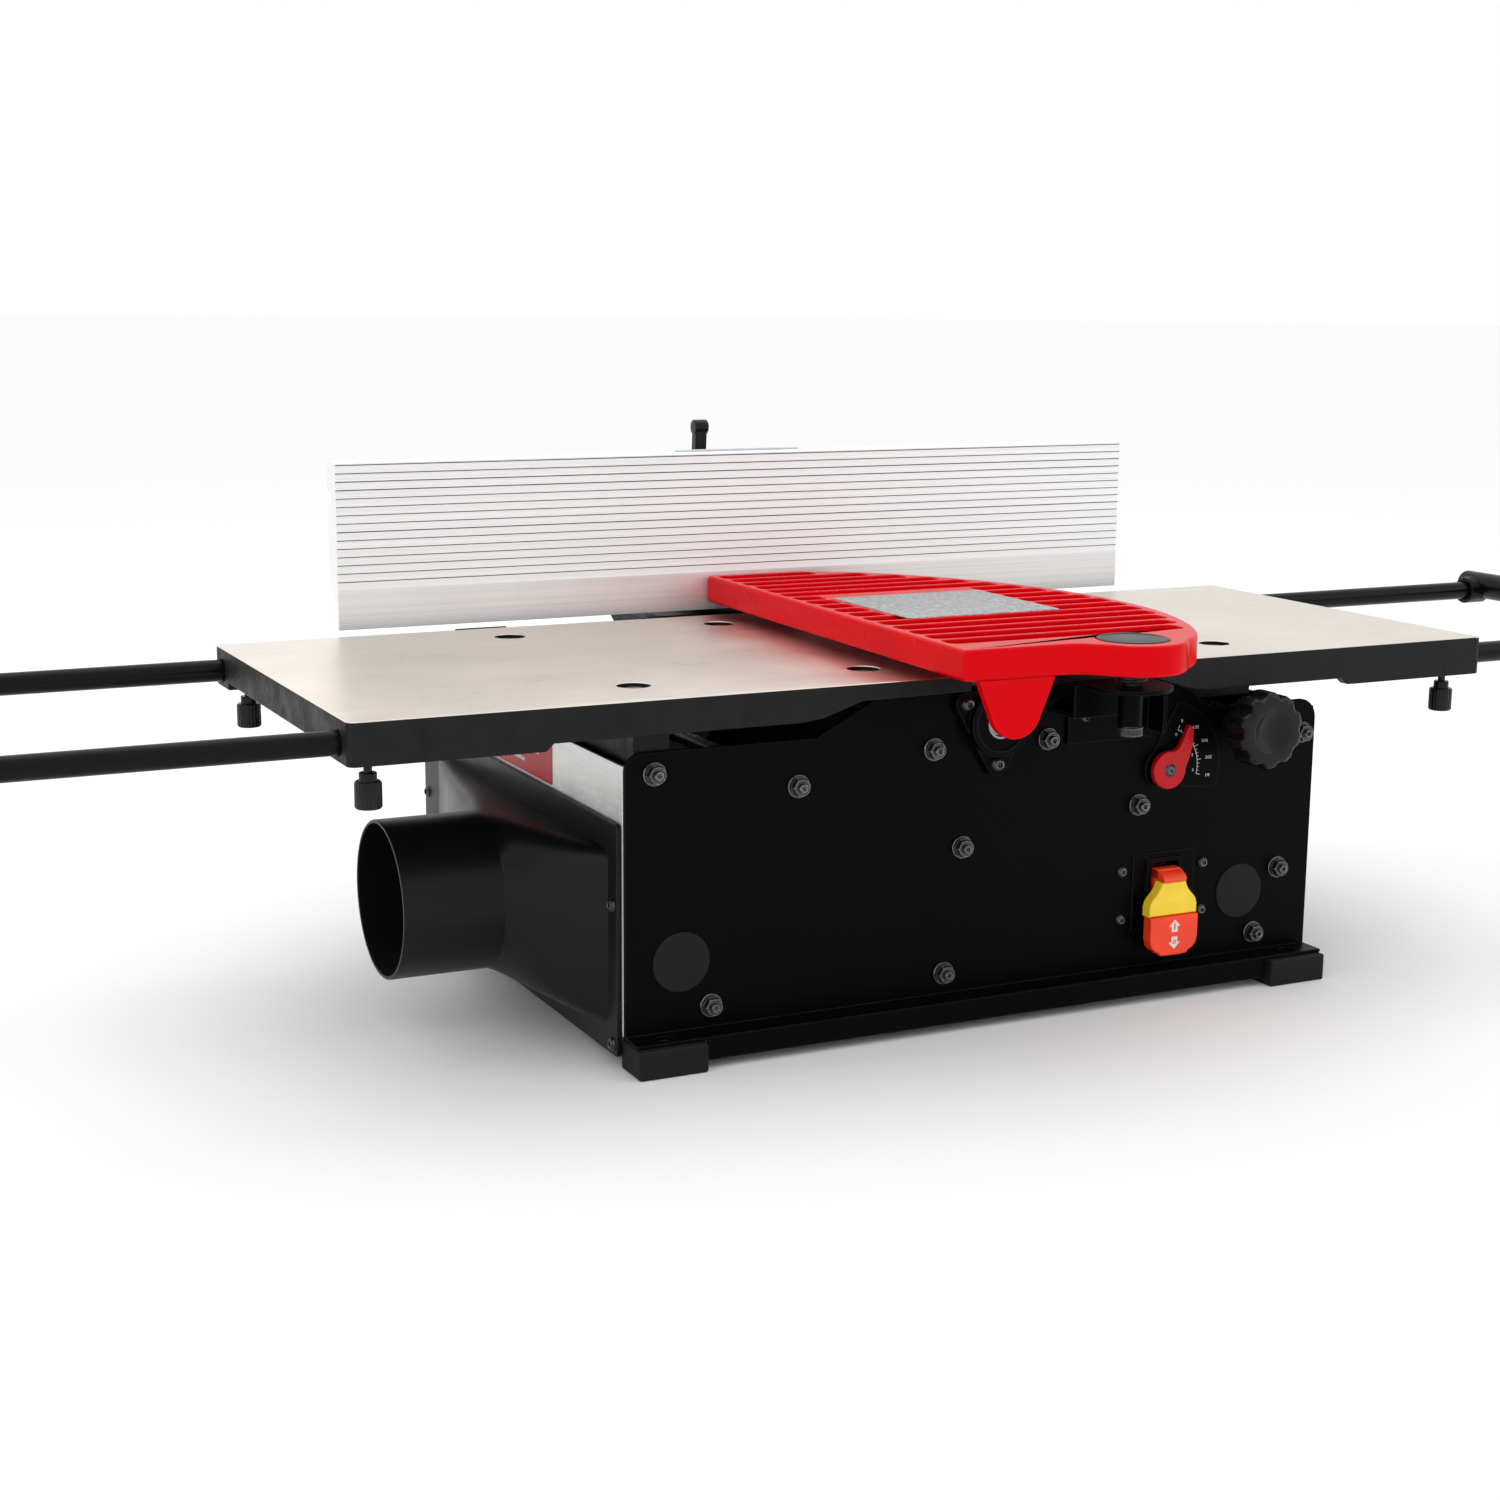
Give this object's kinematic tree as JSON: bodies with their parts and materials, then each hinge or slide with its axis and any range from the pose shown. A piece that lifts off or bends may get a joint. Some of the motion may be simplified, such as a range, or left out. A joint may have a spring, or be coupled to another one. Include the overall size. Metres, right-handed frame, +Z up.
{
  "type": "benchtop jointer",
  "caption": "Benchtop jointer with iron tables, grooved tilting fence, red swinging cutterhead guard, side dust port, depth dial and sliding extension bars at both ends.",
  "frame": {"origin": "centre of the four bench bolt holes on the undersides of the feet", "axes": "+X along the tables towards the infeed end, +Y towards the fence, +Z up"},
  "size_m": [1.388, 0.6355, 0.3657],
  "materials": {
    "panel_paint": "satin black powder coat",
    "galvanised": "galvanised sheet",
    "steel": "turned or rolled steel",
    "blackened_steel": "blackened, semi-gloss",
    "table_iron": "ground top, black painted sides",
    "rubber": "matte",
    "black_plastic": "satin moulded",
    "grey_plastic": "satin moulded",
    "red_gloss": "glossy",
    "yellow_plastic": "satin",
    "red_plastic": "satin",
    "fence_aluminium": "extruded, satin",
    "cast_aluminium": "cast",
    "copper_winding": "varnished winding",
    "carbide": "ground",
    "belt_rubber": "ribbed belt"
  },
  "bodies": {
    "base": {"front_panel": "panel_paint", "rear_panel": "panel_paint", "left_end_plate": "galvanised", "right_end_plate": "panel_paint", "drive_plate": "steel", "rubber_feet": "rubber", "tie_rods": "steel", "panel_nuts": "blackened_steel", "outfeed_table": "table_iron", "outfeed_supports": "steel", "outfeed_screws": "blackened_steel", "front_bearing_flange": "blackened_steel", "rear_bearing_flange": "blackened_steel", "ball_bearings": "steel", "flange_bolts": "blackened_steel", "dust_chute": "black_plastic", "casing_screws": "blackened_steel", "dust_deflector": "galvanised", "lift_beam": "steel", "motor_housing": "black_plastic", "motor_stator": "copper_winding", "drive_belt": "belt_rubber", "switch_box": "black_plastic", "panel_plugs": "grey_plastic", "dial_plate": "black_plastic", "guard_bracket": "blackened_steel", "fence_base": "panel_paint", "cable_gland": "black_plastic"},
    "infeed": {"infeed_table": "table_iron", "infeed_cradle": "steel", "infeed_screws": "blackened_steel"},
    "outfeed_extension": {"outfeed_bars": "blackened_steel", "outfeed_cross_bar": "black_plastic"},
    "infeed_extension": {"infeed_bars": "blackened_steel", "infeed_cross_bar": "black_plastic"},
    "clamp_outfeed_front": {"outfeed_front_clamp": "black_plastic"},
    "clamp_outfeed_rear": {"outfeed_rear_clamp": "black_plastic"},
    "clamp_infeed_front": {"infeed_front_clamp": "black_plastic"},
    "clamp_infeed_rear": {"infeed_rear_clamp": "black_plastic"},
    "depth_drive": {"depth_knob": "black_plastic", "depth_cam": "steel"},
    "pointer": {"depth_pointer": "red_gloss"},
    "cutter": {"cutterhead": "steel", "cutter_inserts": "carbide", "cutter_pulley": "cast_aluminium"},
    "rotor": {"motor_armature": "steel", "motor_pulley": "cast_aluminium"},
    "guard_post": {"guard_pivot_pin": "steel", "guard_spring": "blackened_steel"},
    "guard_arm": {"guard": "red_gloss", "guard_tongue": "red_gloss", "guard_cap": "grey_plastic"},
    "carriage": {"fence_carriage": "panel_paint", "fence_hinge_pin": "steel"},
    "fence_plate": {"fence": "fence_aluminium", "fence_bracket": "cast_aluminium"},
    "slide_lever": {"fence_lock_lever": "black_plastic"},
    "tilt_lever": {"tilt_lock_lever": "black_plastic"},
    "paddle": {"switch_paddle": "red_plastic"},
    "key": {"safety_key": "yellow_plastic"}
  },
  "joints": [
    {"name": "infeed_height", "type": "slide", "parent": "base", "child": "infeed", "axis": [0, 0, -1], "range_m": [0, 0.0032]},
    {"name": "depth_knob_turn", "type": "hinge", "parent": "base", "child": "depth_drive", "pos_m": [0.1892, -0.18, 0.1853], "axis": [0, 1, 0], "range_deg": [0, 180]},
    {"name": "pointer_turn", "type": "hinge", "parent": "base", "child": "pointer", "pos_m": [0.1326, -0.193, 0.1573], "axis": [0, 1, 0], "range_deg": [0, 80]},
    {"name": "outfeed_extension_slide", "type": "slide", "parent": "base", "child": "outfeed_extension", "axis": [1, 0, 0], "range_m": [0, 0.21]},
    {"name": "infeed_extension_slide", "type": "slide", "parent": "infeed", "child": "infeed_extension", "axis": [-1, 0, 0], "range_m": [0, 0.135]},
    {"name": "outfeed_front_clamp_turn", "type": "hinge", "parent": "base", "child": "clamp_outfeed_front", "pos_m": [-0.4185, -0.191, 0.19], "axis": [0, 0, 1], "continuous": true},
    {"name": "outfeed_rear_clamp_turn", "type": "hinge", "parent": "base", "child": "clamp_outfeed_rear", "pos_m": [-0.4185, 0.083, 0.19], "axis": [0, 0, 1], "continuous": true},
    {"name": "infeed_front_clamp_turn", "type": "hinge", "parent": "infeed", "child": "clamp_infeed_front", "pos_m": [0.3695, -0.191, 0.19], "axis": [0, 0, 1], "continuous": true},
    {"name": "infeed_rear_clamp_turn", "type": "hinge", "parent": "infeed", "child": "clamp_infeed_rear", "pos_m": [0.3695, 0.083, 0.19], "axis": [0, 0, 1], "continuous": true},
    {"name": "cutterhead_spin", "type": "hinge", "parent": "base", "child": "cutter", "pos_m": [-0.001, 0, 0.1995], "axis": [0, 1, 0], "continuous": true},
    {"name": "motor_spin", "type": "hinge", "parent": "base", "child": "rotor", "pos_m": [0.045, 0, 0.092], "axis": [0, 1, 0], "continuous": true},
    {"name": "fence_slide", "type": "slide", "parent": "base", "child": "carriage", "axis": [0, -1, 0], "range_m": [0, 0.12]},
    {"name": "fence_tilt", "type": "hinge", "parent": "carriage", "child": "fence_plate", "pos_m": [-0.0245, 0.137, 0.2423], "axis": [-1, 0, 0], "range_deg": [0, 45]},
    {"name": "fence_lock_turn", "type": "hinge", "parent": "carriage", "child": "slide_lever", "pos_m": [0.011, 0.302, 0.258], "axis": [-1, 0, 0], "range_deg": [0, 70]},
    {"name": "tilt_lock_turn", "type": "hinge", "parent": "carriage", "child": "tilt_lever", "pos_m": [-0.084, 0.137, 0.2423], "axis": [1, 0, 0], "range_deg": [0, 15]},
    {"name": "guard_clears_fence", "type": "hinge", "parent": "base", "child": "guard_post", "pos_m": [0.05, -0.266, 0.23], "axis": [0, 0, 1], "range_deg": [0, 90]},
    {"name": "guard_swing", "type": "hinge", "parent": "guard_post", "child": "guard_arm", "pos_m": [0.05, -0.266, 0.25], "axis": [0, 0, 1], "range_deg": [0, 60], "stiffness_Nm_per_rad": 0.1, "springref_deg": -28.65},
    {"name": "paddle_press", "type": "hinge", "parent": "base", "child": "paddle", "pos_m": [0.1362, -0.1815, 0.064], "axis": [1, 0, 0], "range_deg": [-4, 4]},
    {"name": "key_pull", "type": "slide", "parent": "paddle", "child": "key", "axis": [0, -1, 0], "range_m": [0, 0.014]}
  ],
  "couplings": [
    {"joint": "depth_knob_turn", "follows": "infeed_height", "rad_per_m": 981.75},
    {"joint": "pointer_turn", "follows": "infeed_height", "rad_per_m": 436.33},
    {"joint": "motor_spin", "follows": "cutterhead_spin", "ratio": 1.36},
    {"joint": "guard_clears_fence", "follows": "fence_slide", "rad_per_m": 13.09}
  ]
}
